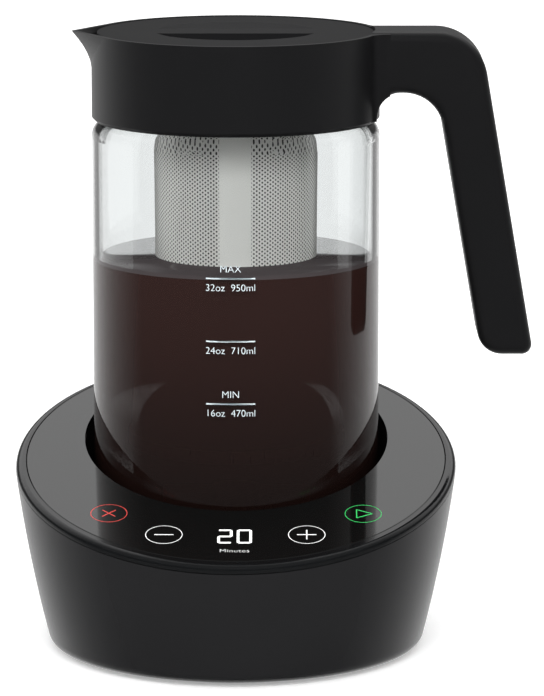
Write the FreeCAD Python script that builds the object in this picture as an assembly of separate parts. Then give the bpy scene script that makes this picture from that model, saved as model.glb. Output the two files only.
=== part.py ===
import FreeCAD, Part
import math
import os

from FreeCAD import Vector, Rotation, Placement

# Cold brew coffee maker: a round motor base with a sloped touch panel, a glass
# pitcher standing in a well in that panel, a moulded collar with spout and
# handle, a turning lid and a hanging steel filter.
# Millimetres. The base's axis is X = Y = 0 and the table is Z = 0.
# The controls face -Y, the handle points to +X and the spout to -X.

# Base housing
base_r_high = 92.1
base_taper = 16.9
base_profile_h = 102.0
base_bulge = 2.35
base_wall = 2.4
base_corner_r = 5.0
foot_gap = 2.0
slope_deg = 15.8
rim_z = 72.9
seam_gap = 0.4

# Bottom plate, foot and screws
plate_margin = 7.0
plate_thick = 2.6
plate_clear = 0.2
ledge_width = 5.0
ledge_thick = 2.0
foot_margin = 3.0
foot_width = 6.0
foot_depth = 1.2
foot_edge_r = 0.6
screw_head_gap = 0.5
plate_screw_count = 4
screw_r = 1.4
screw_clear = 0.05
screw_head_r = 3.1
screw_head_h = 1.5
screw_len = 12.0
screw_slot_w = 0.7
screw_tip_gap = 1.0
boss_r = 4.0
boss_h = 14.0
rib_thick = 1.8
vent_count = 7
vent_len = 26.0
vent_width = 2.2
vent_pitch = 5.0

# Rim ring and touch panel
ring_rise = 2.9
ring_round = 2.6
ring_skirt = 4.5
ring_skirt_thick = 1.8
ring_root = 0.2
panel_y = 3.6
panel_margin = 7.2
panel_thick = 2.0
panel_clear = 0.1
panel_edge = 0.4
panel_ledge_w = 8.9

# Touch controls: rings on a circle about the panel's centre, degrees from its front
board_gap = 3.0
board_thick = 1.6
board_margin = 5.4
board_well_gap = 5.0
board_back = -16.0
post_r = 2.2
post_margin = 7.3
post_count = 5
post_step_deg = 26.0
button_margin = 14.9
button_degs = [-48.3, -24.0, 24.0, 48.3]
spring_r = 4.0
spring_wall = 0.8
display_w = 22.0
display_d = 16.0
display_margin = 18.7

# Pitcher well
well_back_margin = 6.7
well_gap = 3.8
well_draft = 1.2
well_wall = 1.6
well_depth = 29.2
well_floor_thick = 2.2
well_corner_r = 4.0
well_flange_w = 4.0
well_flange_thick = 1.6
seat_inset = 6.0
seat_width = 6.0
seat_rise = 0.8

# Motor and magnet drive
magnet_gap = 1.6
carrier_r = 20.0
carrier_h = 6.0
carrier_hub_r = 5.0
carrier_hub_h = 3.0
magnet_r = 6.0
magnet_h = 5.0
magnet_spread = 12.0
magnet_clear = 0.05
shaft_r = 1.5
shaft_clear = 0.05
shaft_end_gap = 1.0
bracket_drop = 3.0
bracket_r = 33.0
bracket_thick = 2.0
bracket_post_inset = 5.5
bracket_post_count = 3
bracket_post_r = 3.6
motor_r = 14.0
motor_h = 24.0
motor_round = 1.5
motor_nose_r = 5.0
motor_nose_h = 1.5
motor_end_wall = 3.0
motor_screw_len = 7.0

# Control board on the bottom plate
main_board_w = 58.0
main_board_d = 38.0
main_board_y = -33.0
main_board_h = 8.0
main_post_r = 2.6
main_post_inset = 4.5
supply_w = 24.0
supply_d = 20.0
supply_h = 15.0
supply_core_w = 28.0
supply_core_d = 10.0
supply_core_h = 7.5
can_r = 5.0
can_h = 14.0
can_count = 3
can_pitch = 12.0

# Cord gland at the back
gland_z = 17.0
gland_flange_r = 8.0
gland_flange_out = 2.0
gland_flange_in = 2.0
gland_neck_r = 5.4
gland_bore_r = 3.1
gland_clear = 0.1

# Glass
glass_r = 58.0
glass_wall = 2.6
glass_bottom = 3.6
glass_corner_r = 7.0
glass_shoulder_drop = 7.1
glass_neck_in = 4.0
glass_neck_drop = 0.3
glass_shoulder_lean = 0.7
glass_rim_up = 15.2

# Collar with spout
pitcher_height = 194.6
collar_h = 35.7
collar_chamfer = 1.4
collar_bore_in = 3.2
lid_recess_in = 1.9
lid_recess_h = 3.8
neck_clear = 0.2
seal_thick = 1.7
seal_inset = 0.4
spout_reach = 8.0
spout_height = 15.0
spout_curve = 1.7
spout_wall = 2.0
spout_levels = 6
spout_root = 4.0
channel_height = 11.0

# Handle
handle_width = 30.0
handle_top_rise = 0.8
handle_lean_deg = 9.75
handle_outer_out = 39.8
handle_reach_down = 130.0
handle_thick_x = 21.2
handle_arm_drop = 23.8
handle_outer_round = 20.5
handle_inner_round = 16.0
handle_collar_round = 9.5
handle_tip_inner_round = 10.0
handle_tip_outer_round = 4.0
handle_edge_round = 4.0
handle_root_round = 8.0
handle_wall_sink = 1.5

# Lid
lid_clear = 0.3
cap_edge = 0.5
cap_drop = 0.2
pocket_r = 32.7
pocket_bar = 18.0
pocket_depth = 4.4
pocket_floor = 1.3
plug_clear = 1.0
plug_wall = 2.4
plug_h = 14.4
plug_floor = 2.4
plug_top_gap = 0.4
gasket_out = 0.7
gasket_in = 1.2
gasket_h = 2.0
gasket_up = 1.2
skirt_wall = 1.6
skirt_h = 9.4
window_deg = 44.0
window_low = 4.0
window_h = 8.0

# Filter
filter_r_top = 33.4
filter_taper = 1.4
filter_wall = 0.5
filter_clear_floor = 20.0
filter_fit = 0.02
rim_h = 8.0
rim_wall = 1.5
rim_top_drop = 7.6
lug_drop = 1.0
sleeve_wall = 1.8
lug_out = 1.7
lug_h = 2.2
lug_deg = 26.0
lug_count = 3
lug_play = 0.2
ledge_h = 3.6
notch_deg = 32.0
release_deg = 45.0
filter_cup_h = 5.0
filter_cup_thick = 0.8

# Stirrer
stir_gap = 0.3
stir_hub_r = 8.0
stir_hub_h = 7.0
stir_len = 44.0
stir_w = 9.0
stir_h = 6.2
stir_round = 2.0
stir_magnet_len = 30.0
stir_magnet_w = 5.0
stir_magnet_h = 4.0
stir_magnet_clear = 0.05

# Worked-out radii and places in plan
base_r_low = base_r_high - base_taper
plate_r = base_r_low - plate_margin
foot_r_out = plate_r - foot_margin
foot_r_in = foot_r_out - foot_width
plate_screw_circle = foot_r_in - screw_head_gap - screw_head_r
panel_r = base_r_high - panel_margin
panel_ledge_r = panel_r - panel_ledge_w
board_r = panel_r - board_margin
post_circle = panel_r - post_margin
button_circle = panel_r - button_margin
well_r = glass_r + well_gap
pitcher_y = panel_y + panel_r - well_back_margin - well_r
seat_r_out = glass_r - seat_inset
seat_r_in = seat_r_out - seat_width
bracket_post_circle = bracket_r - bracket_post_inset
glass_neck_r = glass_r - glass_neck_in
collar_r = glass_r
collar_bore_r = glass_neck_r - collar_bore_in
lid_recess_r = collar_r - lid_recess_in
plug_r = collar_bore_r - plug_clear
handle_outer_x = collar_r + handle_outer_out
filter_r_low = filter_r_top - filter_taper
sleeve_r = filter_r_top + rim_wall + lid_clear
groove_r = sleeve_r + lug_out

# Worked-out heights
slope = math.radians(slope_deg)
slope_tan = math.tan(slope)
slope_cos = math.cos(slope)
base_profile_top = foot_gap + base_profile_h
panel_top_z = rim_z + ring_rise / slope_cos
well_floor_z = panel_top_z + slope_tan * pitcher_y - well_depth
well_under_z = well_floor_z - well_floor_thick
glass_z = well_floor_z + seat_rise
glass_floor_z = glass_z + glass_bottom
top_z = glass_z + pitcher_height
collar_low_z = top_z - collar_h
glass_rim_z = collar_low_z + glass_rim_up
seal_top_z = glass_rim_z + seal_thick
recess_z = top_z - lid_recess_h
plate_top_z = foot_gap + plate_thick
plug_top_z = recess_z - plug_top_gap
plug_low_z = plug_top_z - plug_h
rim_top_z = top_z - rim_top_drop
lug_low_z = rim_top_z - lug_drop - lug_h
filter_low_z = glass_floor_z + filter_clear_floor
bracket_top_z = well_under_z - magnet_gap - carrier_h - carrier_hub_h - bracket_drop

# How far a cut runs past what it cuts, and a length beyond the whole object
past = 1.0
big = 4 * base_r_high


def vertical(r, z0, z1, x=0.0, y=0.0):
    """Solid upright cylinder."""
    return Part.makeCylinder(r, z1 - z0, Vector(x, y, z0))


def tube(r_out, r_in, z0, z1, x=0.0, y=0.0):
    """Upright tube."""
    return vertical(r_out, z0, z1, x, y).cut(vertical(r_in, z0 - past, z1 + past, x, y))


def block(w, d, h, x, y, z0):
    """Box centred in X and Y that stands on z0."""
    return Part.makeBox(w, d, h, Vector(x - w / 2, y - d / 2, z0))


def revolve(points, y=0.0):
    """Solid of revolution about an upright axis, from (r, z) points and arcs.

    A point is (r, z). An arc is written as its middle point with a third
    value, and it runs from the point before to the point after.
    """
    edges = []
    count = len(points)
    index = 0
    while index < count:
        here = Vector(points[index][0], 0, points[index][1])
        ahead = points[(index + 1) % count]
        if len(ahead) == 3:
            end = points[(index + 2) % count]
            middle = Vector(ahead[0], 0, ahead[1])
            edges.append(Part.Arc(here, middle, Vector(end[0], 0, end[1])).toShape())
            index += 2
        else:
            edges.append(Part.makeLine(here, Vector(ahead[0], 0, ahead[1])))
            index += 1
    face = Part.Face(Part.Wire(edges))
    solid = face.revolve(Vector(0, 0, 0), Vector(0, 0, 1), 360)
    solid.translate(Vector(0, y, 0))
    return solid


def rounded_wire(corners):
    """Closed wire in the XZ plane from (x, z, corner radius) with tangent arcs."""
    count = len(corners)
    starts = []
    arcs = []
    for index, (x, z, radius) in enumerate(corners):
        here = Vector(x, 0, z)
        before = Vector(corners[index - 1][0], 0, corners[index - 1][1])
        after = Vector(corners[(index + 1) % count][0], 0, corners[(index + 1) % count][1])
        if radius == 0:
            starts.append((here, here))
            arcs.append(None)
            continue
        to_before = (before - here).normalize()
        to_after = (after - here).normalize()
        half = to_before.getAngle(to_after) / 2
        reach = radius / math.tan(half)
        bisector = (to_before + to_after).normalize()
        centre = here + bisector * (radius / math.sin(half))
        first = here + to_before * reach
        last = here + to_after * reach
        starts.append((first, last))
        arcs.append(Part.Arc(first, centre - bisector * radius, last).toShape())
    edges = []
    for index in range(count):
        if arcs[index]:
            edges.append(arcs[index])
        leave = starts[index][1]
        arrive = starts[(index + 1) % count][0]
        if leave.distanceToPoint(arrive) > 1e-6:
            edges.append(Part.makeLine(leave, arrive))
    return Part.Wire(edges)


def rise(y, above_rim=0.0):
    """Height of the sloped plane that lies above_rim along its normal."""
    return rim_z + above_rim / slope_cos + slope_tan * y


def slab(low, high):
    """Everything between two planes parallel to the sloped rim plane."""
    box = Part.makeBox(2 * big, 2 * big, high - low, Vector(-big, -big, low))
    box.Placement = Placement(Vector(0, 0, rim_z), Rotation(Vector(1, 0, 0), slope_deg))
    return box


def on_slope(shape, x, along, above_rim):
    """Moves a shape from its own XY plane to a place on the sloped panel."""
    anchor = Vector(0, panel_y, rise(panel_y))
    turn = Rotation(Vector(1, 0, 0), slope_deg)
    shape.Placement = Placement(anchor + turn.multVec(Vector(x, along, above_rim)), turn)
    return shape


def base_body(inset):
    """The base's outer form, drawn in by inset all round."""
    middle_z = (foot_gap + base_profile_top) / 2
    middle_r = (base_r_low + base_r_high) / 2 + base_bulge
    return revolve([
        (0, foot_gap),
        (base_r_low - inset, foot_gap),
        (middle_r - inset, middle_z, "arc"),
        (base_r_high - inset, base_profile_top),
        (0, base_profile_top),
    ])


def round_edges(shape, radius, chosen):
    """Fillets the edges for which chosen(edge) is true."""
    edges = [edge for edge in shape.Edges if chosen(edge)]
    return shape.makeFillet(radius, edges)


def polar(radius, degrees, y=0.0):
    """Point on a circle about (0, y)."""
    angle = math.radians(degrees)
    return radius * math.cos(angle), y + radius * math.sin(angle)


def sector(r_in, r_out, z0, z1, mid_deg, width_deg, y=0.0):
    """Part of a tube, width_deg wide about mid_deg."""
    ring = Part.makeCylinder(r_out, z1 - z0, Vector(0, y, z0), Vector(0, 0, 1), width_deg)
    ring = ring.cut(vertical(r_in, z0 - past, z1 + past, 0, y))
    ring.rotate(Vector(0, y, 0), Vector(0, 0, 1), mid_deg - width_deg / 2)
    return ring


def plate_screw_spots():
    """Places of the screws that hold the bottom plate."""
    step = 360.0 / plate_screw_count
    return [polar(plate_screw_circle, step / 2 + step * i) for i in range(plate_screw_count)]


def bracket_spots():
    """Places of the posts that carry the motor bracket."""
    step = 360.0 / bracket_post_count
    return [polar(bracket_post_circle, 90 + step * i, pitcher_y) for i in range(bracket_post_count)]


def make_base_housing():
    """Moulded bowl with a bottom ledge, screw bosses and a hole for the gland."""
    outer = base_body(0)
    outer = round_edges(
        outer,
        base_corner_r,
        lambda e: abs(e.BoundBox.ZMax - foot_gap) < 0.01 and e.BoundBox.XMax > base_r_low - 0.1,
    )
    shell = outer.cut(base_body(base_wall))
    ledge_z = plate_top_z + ledge_thick
    ledge_r = plate_r + plate_clear
    ledge = vertical(base_r_low, foot_gap, ledge_z).cut(vertical(ledge_r, 0, plate_top_z))
    ledge = ledge.cut(vertical(ledge_r - ledge_width, 0, big)).common(outer)
    shell = shell.fuse(ledge)
    for x, y in plate_screw_spots():
        boss = vertical(boss_r, plate_top_z, plate_top_z + boss_h, x, y)
        angle = math.degrees(math.atan2(y, x))
        rib = Part.makeBox(base_r_low - plate_screw_circle, rib_thick, boss_h)
        rib.translate(Vector(plate_screw_circle, -rib_thick / 2, plate_top_z))
        rib.rotate(Vector(0, 0, 0), Vector(0, 0, 1), angle)
        rib = rib.common(base_body(base_wall / 2))
        hole = vertical(screw_r + screw_clear, 0, plate_top_z + screw_len, x, y)
        shell = shell.fuse([boss, rib]).cut(hole)
    shell = shell.cut(slab(-seam_gap, big))
    gland_hole = Part.makeCylinder(
        gland_neck_r + gland_clear, big, Vector(0, 0, gland_z), Vector(0, 1, 0)
    )
    return shell.cut(gland_hole)


def make_bottom_plate():
    """Flat closing plate with a foot groove, screw seats, vents and board posts."""
    plate = vertical(plate_r, foot_gap, plate_top_z)
    plate = plate.cut(tube(foot_r_out, foot_r_in, 0, foot_gap + foot_depth))
    for x, y in plate_screw_spots():
        plate = plate.cut(vertical(screw_r + plate_clear, 0, plate_top_z + past, x, y))
        plate = plate.cut(vertical(screw_head_r + plate_clear, 0, foot_gap + screw_head_h, x, y))
    for index in range(vent_count):
        x = (index - (vent_count - 1) / 2) * vent_pitch
        plate = plate.cut(block(vent_width, vent_len, plate_top_z + past, x, pitcher_y, 0))
    for x, y in main_post_spots():
        plate = plate.fuse(vertical(main_post_r, plate_top_z, plate_top_z + main_board_h, x, y))
    return plate.removeSplitter()


def main_post_spots():
    """Places of the posts under the control board."""
    half_w = main_board_w / 2 - main_post_inset
    half_d = main_board_d / 2 - main_post_inset
    return [(sx * half_w, main_board_y + sy * half_d) for sx in (-1, 1) for sy in (-1, 1)]


def make_foot_ring():
    """Soft ring pressed into the plate's groove; the base rests on it."""
    ring = tube(foot_r_out, foot_r_in, 0, foot_gap + foot_depth)
    return round_edges(ring, foot_edge_r, lambda e: abs(e.BoundBox.ZMax) < 0.01)


def make_screws(spots, z0, length):
    """Pan-head screws that point up, one solid each; length is the shank's."""
    screws = []
    for x, y in spots:
        head = vertical(screw_head_r, z0, z0 + screw_head_h, x, y)
        shank = vertical(screw_r, z0 + screw_head_h, z0 + screw_head_h + length, x, y)
        slot = block(screw_head_r * 1.3, screw_slot_w, screw_head_h / 2, x, y, z0)
        screws.append(head.fuse(shank).cut(slot).removeSplitter())
    return Part.makeCompound(screws)


def make_base_screws():
    """Screws through the bottom plate into the housing's bosses."""
    length = plate_top_z + screw_len - foot_gap - screw_head_h - screw_tip_gap
    return make_screws(plate_screw_spots(), foot_gap, length)


def make_rim_ring():
    """Gloss ring between housing and panel, with a ledge, a skirt and board posts."""
    ring = base_body(0).common(slab(-ring_skirt, ring_rise))
    back_z = rise(base_r_low, ring_rise)
    ring = round_edges(
        ring, ring_round, lambda e: e.BoundBox.ZMax > back_z and e.Length > base_r_low * 5
    )
    ring = ring.common(slab(0, ring_rise + past))
    seat = vertical(panel_r + panel_clear, 0, big, 0, panel_y)
    seat = seat.common(slab(ring_rise - panel_thick, big))
    ring = ring.cut(seat).cut(vertical(panel_ledge_r, 0, big, 0, panel_y))
    skirt_inset = base_wall + plate_clear
    skirt = base_body(skirt_inset).cut(base_body(skirt_inset + ring_skirt_thick))
    skirt = skirt.common(slab(-ring_skirt, ring_root))
    ring = ring.fuse(skirt)
    post_length = panel_thick + board_gap - ring_rise
    for index in range(post_count):
        angle = -90 + (index - (post_count - 1) / 2) * post_step_deg
        x, y = polar(post_circle, angle)
        post = Part.makeCylinder(post_r, post_length + ring_root, Vector(0, 0, -post_length))
        ring = ring.fuse(on_slope(post, x, y, 0))
    well = vertical(well_r + well_wall + plate_clear, 0, big, 0, pitcher_y)
    return ring.cut(well)


def make_touch_panel():
    """Sloped black panel with a bevelled edge, cut by the round well."""
    panel = vertical(panel_r, 0, big, 0, panel_y).common(slab(ring_rise - panel_thick, ring_rise))
    middle_z = rise(panel_y, ring_rise)
    panel = panel.makeChamfer(
        panel_edge,
        [e for e in panel.Edges
         if len(e.Vertexes) == 1 and abs(e.CenterOfMass.z - middle_z) < panel_thick / 2],
    )
    return panel.cut(vertical(well_r, 0, big, 0, pitcher_y))


def well_cup(r_low, r_high, corner, z0):
    """Round-cornered solid that widens from r_low at z0 to r_high at the panel."""
    fold = corner * (1 - math.sqrt(0.5))
    return revolve([
        (0, z0),
        (r_low - corner, z0),
        (r_low - fold, z0 + fold, "arc"),
        (r_low, z0 + corner),
        (r_high, panel_top_z + slope_tan * pitcher_y),
        (r_high, big),
        (0, big),
    ], pitcher_y)


def make_pitcher_well():
    """Deep drafted cup under the panel with a seat ring, a flange and bracket bosses."""
    outer_r = well_r + well_wall
    low_r = well_r - well_draft
    cup = well_cup(low_r + well_wall, outer_r, well_corner_r, well_under_z)
    cup = cup.cut(well_cup(low_r, well_r, well_corner_r - well_wall, well_floor_z))
    flange = tube(outer_r + well_flange_w, well_r, 0, big, 0, pitcher_y)
    panel_low = ring_rise - panel_thick
    flange = flange.common(slab(panel_low - well_flange_thick, panel_low))
    flange = flange.common(vertical(panel_ledge_r - plate_clear, 0, big, 0, panel_y))
    cup = cup.fuse(flange).cut(slab(panel_low, 2 * big))
    cup = cup.fuse(tube(seat_r_out, seat_r_in, well_floor_z, well_floor_z + seat_rise, 0, pitcher_y))
    for x, y in bracket_spots():
        cup = cup.fuse(vertical(bracket_post_r, bracket_top_z, well_under_z, x, y))
        hole = vertical(screw_r + screw_clear, bracket_top_z - past,
                        bracket_top_z + motor_screw_len, x, y)
        cup = cup.cut(hole)
    return cup.removeSplitter()


def make_touch_board():
    """Crescent circuit board that carries the touch springs and the display."""
    top = ring_rise - panel_thick - board_gap
    board = vertical(board_r, 0, big, 0, panel_y)
    board = board.cut(vertical(well_r + well_wall + board_well_gap, 0, big, 0, pitcher_y))
    board = board.common(slab(top - board_thick, top))
    front = Part.makeBox(2 * big, big, 2 * big, Vector(-big, board_back - big, -big))
    return board.common(front)


def button_spots():
    """Places of the touch rings in the panel's plane, from the panel's centre."""
    return [polar(button_circle, degrees - 90) for degrees in button_degs]


def make_touch_springs():
    """Contact springs between the board and the panel, one under each ring mark."""
    low = ring_rise - panel_thick - board_gap
    springs = []
    for x, along in button_spots():
        coil = tube(spring_r, spring_r - spring_wall, 0, board_gap)
        springs.append(on_slope(coil, x, along, low))
    return Part.makeCompound(springs)


def make_display_module():
    """Digit block that shines through the panel."""
    low = ring_rise - panel_thick - board_gap
    body = block(display_w, display_d, board_gap - panel_clear, 0, 0, 0)
    return on_slope(body, 0, display_margin - panel_r, low)


def make_motor():
    """Can motor with an open shaft bore."""
    top = bracket_top_z - bracket_thick
    can = vertical(motor_r, top - motor_h, top, 0, pitcher_y)
    can = round_edges(can, motor_round, lambda e: e.Length > motor_r * 6)
    nose = vertical(motor_nose_r, top, top + motor_nose_h, 0, pitcher_y)
    bore = vertical(shaft_r + shaft_clear, top - motor_h + motor_end_wall, big, 0, pitcher_y)
    return can.fuse(nose).cut(bore).removeSplitter()


def make_motor_bracket():
    """Plate that hangs the motor under the well."""
    low = bracket_top_z - bracket_thick
    plate = vertical(bracket_r, low, bracket_top_z, 0, pitcher_y)
    plate = plate.cut(vertical(motor_nose_r + plate_clear, 0, big, 0, pitcher_y))
    for x, y in bracket_spots():
        plate = plate.cut(vertical(screw_r + plate_clear, 0, big, x, y))
    return plate


def make_motor_screws():
    """Screws through the bracket into the well's bosses."""
    low = bracket_top_z - bracket_thick - screw_head_h
    return make_screws(bracket_spots(), low, bracket_thick + motor_screw_len - screw_tip_gap)


def make_main_board():
    """Control board on the bottom plate's posts."""
    z0 = plate_top_z + main_board_h
    return block(main_board_w, main_board_d, board_thick, 0, main_board_y, z0)


def make_power_supply():
    """Wound transformer block on the control board."""
    z0 = plate_top_z + main_board_h + board_thick
    body = block(supply_w, supply_d, supply_h, -main_board_w / 4, main_board_y, z0)
    core = block(supply_core_w, supply_core_d, supply_core_h, -main_board_w / 4, main_board_y, z0)
    return body.fuse(core).removeSplitter()


def make_capacitors():
    """Row of round capacitors on the control board."""
    z0 = plate_top_z + main_board_h + board_thick
    cans = []
    for index in range(can_count):
        y = main_board_y + (index - (can_count - 1) / 2) * can_pitch
        cans.append(vertical(can_r, z0, z0 + can_h, main_board_w / 4, y))
    return Part.makeCompound(cans)


def make_cord_gland():
    """Bushing in the back wall where the mains lead goes in."""
    centre = Vector(0, 0, gland_z)
    along = Vector(0, 1, 0)
    wide = Part.makeCylinder(gland_flange_r, big, centre, along)
    neck = Part.makeCylinder(gland_neck_r, big, centre, along)
    bore = Part.makeCylinder(gland_bore_r, big, centre, along)
    outer_flange = wide.common(base_body(-gland_flange_out).cut(base_body(0)))
    inner_flange = wide.common(base_body(base_wall).cut(base_body(base_wall + gland_flange_in)))
    middle = neck.common(base_body(0).cut(base_body(base_wall)))
    return outer_flange.fuse([middle, inner_flange]).cut(bore).removeSplitter()


def make_motor_shaft():
    """Steel shaft from the motor up into the magnet carrier."""
    low = bracket_top_z - bracket_thick - motor_h + motor_end_wall + shaft_end_gap
    high = well_under_z - magnet_gap - shaft_end_gap
    return vertical(shaft_r, low, high, 0, pitcher_y)


def magnet_spots():
    """Places of the two drive magnets."""
    return [(sign * magnet_spread, pitcher_y) for sign in (-1, 1)]


def make_magnet_carrier():
    """Disc on the shaft with two pockets."""
    high = well_under_z - magnet_gap
    low = high - carrier_h
    disc = vertical(carrier_r, low, high, 0, pitcher_y)
    disc = disc.fuse(vertical(carrier_hub_r, low - carrier_hub_h, low, 0, pitcher_y))
    disc = disc.cut(vertical(shaft_r, 0, high - shaft_end_gap, 0, pitcher_y))
    for x, y in magnet_spots():
        disc = disc.cut(vertical(magnet_r + magnet_clear, high - magnet_h, high + past, x, y))
    return disc.removeSplitter()


def make_drive_magnets():
    """Two magnets that pull the stirrer round through the well's floor."""
    high = well_under_z - magnet_gap
    magnets = [vertical(magnet_r, high - magnet_h, high, x, y) for x, y in magnet_spots()]
    return Part.makeCompound(magnets)


def make_glass_vessel():
    """Blown glass with a drawn-in neck."""
    inner = glass_r - glass_wall
    neck_in = glass_neck_r - glass_wall
    shoulder_z = collar_low_z - glass_shoulder_drop
    neck_z = collar_low_z - glass_neck_drop
    lean = glass_shoulder_lean
    mid_out = (glass_r - glass_neck_in * (1 - lean), shoulder_z + (neck_z - shoulder_z) * lean)
    mid_in = (inner - glass_neck_in * (1 - lean), mid_out[1])
    corner = glass_corner_r
    fold = corner * (1 - math.sqrt(0.5))
    inner_corner = corner - glass_wall
    inner_fold = inner_corner * (1 - math.sqrt(0.5))
    return revolve([
        (0, glass_z),
        (glass_r - corner, glass_z),
        (glass_r - fold, glass_z + fold, "arc"),
        (glass_r, glass_z + corner),
        (glass_r, shoulder_z),
        (mid_out[0], mid_out[1], "arc"),
        (glass_neck_r, neck_z),
        (glass_neck_r, glass_rim_z),
        (neck_in, glass_rim_z),
        (neck_in, neck_z),
        (mid_in[0], mid_in[1], "arc"),
        (inner, shoulder_z),
        (inner, glass_floor_z + inner_corner),
        (inner - inner_fold, glass_floor_z + inner_fold, "arc"),
        (inner - inner_corner, glass_floor_z),
        (0, glass_floor_z),
    ], pitcher_y)


def spout_solid(inset, height, extra_top):
    """Beak that flares from the collar's wall to a pointed lip, drawn in by inset.

    Each level is the outline of two tangents from the lip to the collar.
    """
    wires = []
    wall_r = collar_r - inset
    for index in range(spout_levels):
        drop = height * (1 - index / (spout_levels - 1))
        grow = max(1 - drop / spout_height, 0.0) ** spout_curve
        tip = wall_r + spout_reach * grow + filter_fit
        angle = math.acos(wall_r / tip)
        z = top_z - drop
        touch_x = -wall_r * math.cos(angle)
        touch_y = wall_r * math.sin(angle)
        root_x = spout_root - collar_bore_r
        wires.append(Part.makePolygon([
            Vector(root_x, pitcher_y, z),
            Vector(touch_x, pitcher_y - touch_y, z),
            Vector(-tip, pitcher_y, z),
            Vector(touch_x, pitcher_y + touch_y, z),
            Vector(root_x, pitcher_y, z),
        ]))
    beak = Part.makeLoft(wires, True, True)
    if extra_top:
        face = Part.Face(wires[-1])
        beak = beak.fuse(face.extrude(Vector(0, 0, extra_top)))
    return beak


def handle_root_plan():
    """Upright prism whose sides sweep from the collar's wall out to the handle's faces."""
    half = handle_width / 2
    reach = collar_r + handle_root_round
    centre_x = math.sqrt(reach ** 2 - (half + handle_root_round) ** 2)
    centre_y = half + handle_root_round
    touch = Vector(centre_x, centre_y, 0) * (collar_r / reach)
    middle = Vector(centre_x, centre_y, 0) + Vector(
        (touch.x + centre_x) / 2 - centre_x, (touch.y + half) / 2 - centre_y, 0
    ).normalize() * handle_root_round
    corners = []
    for sign in (1, -1):
        corners.append([Vector(p.x, sign * p.y, 0) for p in (touch, middle, Vector(centre_x, half, 0))])
    upper, lower = corners
    wire = Part.Wire([
        Part.makeLine(Vector(0, 0, 0), upper[0]),
        Part.Arc(*upper).toShape(),
        Part.makeLine(upper[2], lower[2]),
        Part.Arc(*reversed(lower)).toShape(),
        Part.makeLine(lower[0], Vector(0, 0, 0)),
    ])
    prism = Part.Face(wire).extrude(Vector(0, 0, big))
    prism.translate(Vector(0, pitcher_y, 0))
    return prism


def make_handle():
    """Open handle: an arm from the collar and a leaning leg, one moulding."""
    lean = math.tan(math.radians(handle_lean_deg))
    high = top_z + handle_top_rise
    low = top_z - handle_reach_down
    arm_low = top_z - handle_arm_drop
    outer_low_x = handle_outer_x + (high - low) * lean
    inner_low_x = outer_low_x - handle_thick_x
    inner_high_x = inner_low_x - (arm_low - low) * lean
    wall_x = collar_r - handle_wall_sink
    root_x = collar_bore_r * 0.8
    foot_z = collar_low_z - handle_width
    wire = rounded_wire([
        (root_x, high, 0),
        (handle_outer_x, high, handle_outer_round),
        (outer_low_x, low, handle_tip_outer_round),
        (inner_low_x, low, handle_tip_inner_round),
        (inner_high_x, arm_low, handle_inner_round),
        (wall_x, arm_low, handle_collar_round),
        (wall_x, foot_z, 0),
        (root_x, foot_z, 0),
    ])
    bar = Part.Face(wire).extrude(Vector(0, handle_width, 0))
    bar = round_edges(
        bar,
        handle_edge_round,
        lambda e: e.BoundBox.YLength < 0.01 and e.BoundBox.XMax > wall_x - 0.1,
    )
    bar.translate(Vector(0, pitcher_y - handle_width / 2, 0))
    wide = Part.Face(wire).extrude(Vector(0, 2 * collar_r, 0))
    wide.translate(Vector(0, pitcher_y - collar_r, 0))
    wide = wide.common(slab_level(0, top_z))
    bar = bar.fuse(wide.common(handle_root_plan()))
    return bar.cut(Part.makeBox(collar_r, big, big, Vector(0, -big / 2, collar_low_z + past - big)))


def slab_level(low, high):
    """Everything between two heights."""
    return Part.makeBox(2 * big, 2 * big, high - low, Vector(-big, -big, low))


def make_pour_collar():
    """Moulded collar on the glass neck, with the spout and the handle."""
    ring = vertical(collar_r, collar_low_z, top_z, 0, pitcher_y)
    ring = ring.makeChamfer(
        collar_chamfer, [e for e in ring.Edges if abs(e.BoundBox.ZMax - collar_low_z) < 0.01]
    )
    ring = ring.fuse([spout_solid(0, spout_height, 0), make_handle()])
    ring = ring.cut(vertical(glass_neck_r + neck_clear, 0, seal_top_z, 0, pitcher_y))
    ring = ring.cut(vertical(collar_bore_r, 0, big, 0, pitcher_y))
    ring = ring.cut(vertical(lid_recess_r, recess_z, big, 0, pitcher_y))
    channel = spout_solid(spout_wall, channel_height, past)
    return ring.cut(channel).removeSplitter()


def make_collar_seal():
    """Silicone ring between the glass rim and the collar."""
    outer = glass_neck_r + neck_clear
    return tube(outer, collar_bore_r + seal_inset, glass_rim_z, seal_top_z, 0, pitcher_y)


def make_stirrer_paddle():
    """Moulded stirrer that stands on the glass floor."""
    z0 = glass_floor_z + stir_gap
    bar = block(stir_len, stir_w, stir_h, 0, pitcher_y, z0)
    bar = round_edges(bar, stir_round, lambda e: e.BoundBox.ZLength < 0.01
                      and e.BoundBox.ZMax > z0 + stir_h / 2)
    hub = vertical(stir_hub_r, z0, z0 + stir_hub_h, 0, pitcher_y)
    hub = round_edges(hub, stir_round, lambda e: e.BoundBox.ZMin > z0 + stir_h / 2)
    space = stir_magnet_clear * 2
    pocket = block(
        stir_magnet_len + space, stir_magnet_w + space, stir_magnet_h + space,
        0, pitcher_y, z0 + (stir_h - stir_magnet_h - space) / 2,
    )
    return bar.fuse(hub).cut(pocket).removeSplitter()


def make_stirrer_magnet():
    """Bar magnet sealed in the stirrer."""
    z0 = glass_floor_z + stir_gap + (stir_h - stir_magnet_h) / 2
    return block(stir_magnet_len, stir_magnet_w, stir_magnet_h, 0, pitcher_y, z0)


def lug_angles():
    """Directions of the filter's lugs."""
    return [90 + 360.0 / lug_count * index for index in range(lug_count)]


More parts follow.
